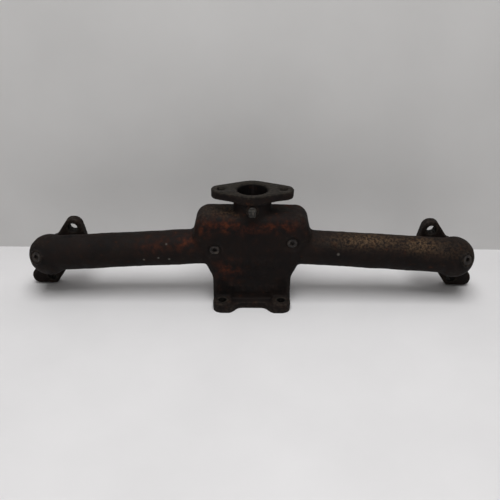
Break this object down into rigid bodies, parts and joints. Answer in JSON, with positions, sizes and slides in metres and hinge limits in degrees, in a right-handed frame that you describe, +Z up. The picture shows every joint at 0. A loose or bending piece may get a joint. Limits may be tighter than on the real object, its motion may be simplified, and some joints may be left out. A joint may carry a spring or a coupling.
{
  "type": "engine intake manifold",
  "caption": "Cast-iron log manifold: carburettor flange on a central plenum, a round arm to an upright port flange on each side, and a bolted heat pad underneath.",
  "frame": {"origin": "centre of the heat pad's four bolt holes, on the pad's face, which is the underside that it stands on", "axes": "+X along the right arm, +Y towards the engine, the way the port flanges face, +Z up out of the carburettor flange"},
  "size_m": [0.5798, 0.0796, 0.1475],
  "materials": {
    "cast_iron": "rusted sand-cast grey iron",
    "plug_steel": "worn steel pipe plug"
  },
  "bodies": {
    "root": {"manifold_casting": "cast_iron", "neck_plug": "plug_steel", "left_front_plug": "plug_steel", "right_front_plug": "plug_steel", "left_end_plug": "plug_steel", "right_end_plug": "plug_steel"}
  },
  "joints": []
}
